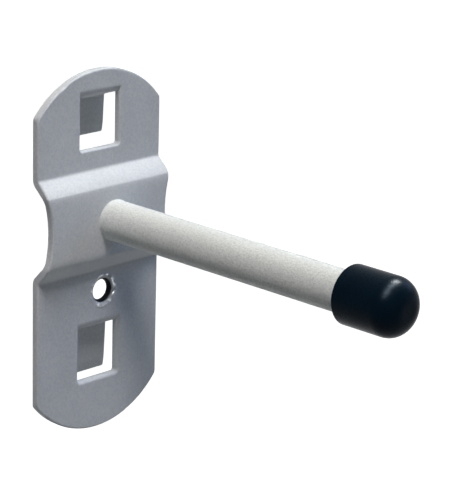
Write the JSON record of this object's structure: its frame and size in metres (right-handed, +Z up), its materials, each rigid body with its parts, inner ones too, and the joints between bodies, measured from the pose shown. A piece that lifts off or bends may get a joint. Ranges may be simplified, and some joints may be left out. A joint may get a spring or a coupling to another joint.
{
  "type": "tool hook",
  "caption": "Straight round rod on a joggled sheet-metal back plate with folded tabs that hang it in a perforated panel, with a soft cap on the rod's end.",
  "frame": {"origin": "on the axis of the locking-screw hole, in the plane of the back faces that lie on the panel", "axes": "+X to the right seen from the front, +Y into the panel, +Z up; the rod points along -Y"},
  "size_m": [0.0257, 0.0683, 0.0591],
  "materials": {
    "plate_paint": "satin silver-grey metallic powder coat",
    "rod_paint": "satin light grey, finely speckled",
    "cap_plastic": "satin soft plastic, blue-black"
  },
  "bodies": {
    "root": {"back_plate": "plate_paint", "hook_rod": "rod_paint", "end_cap": "cap_plastic"}
  },
  "joints": []
}
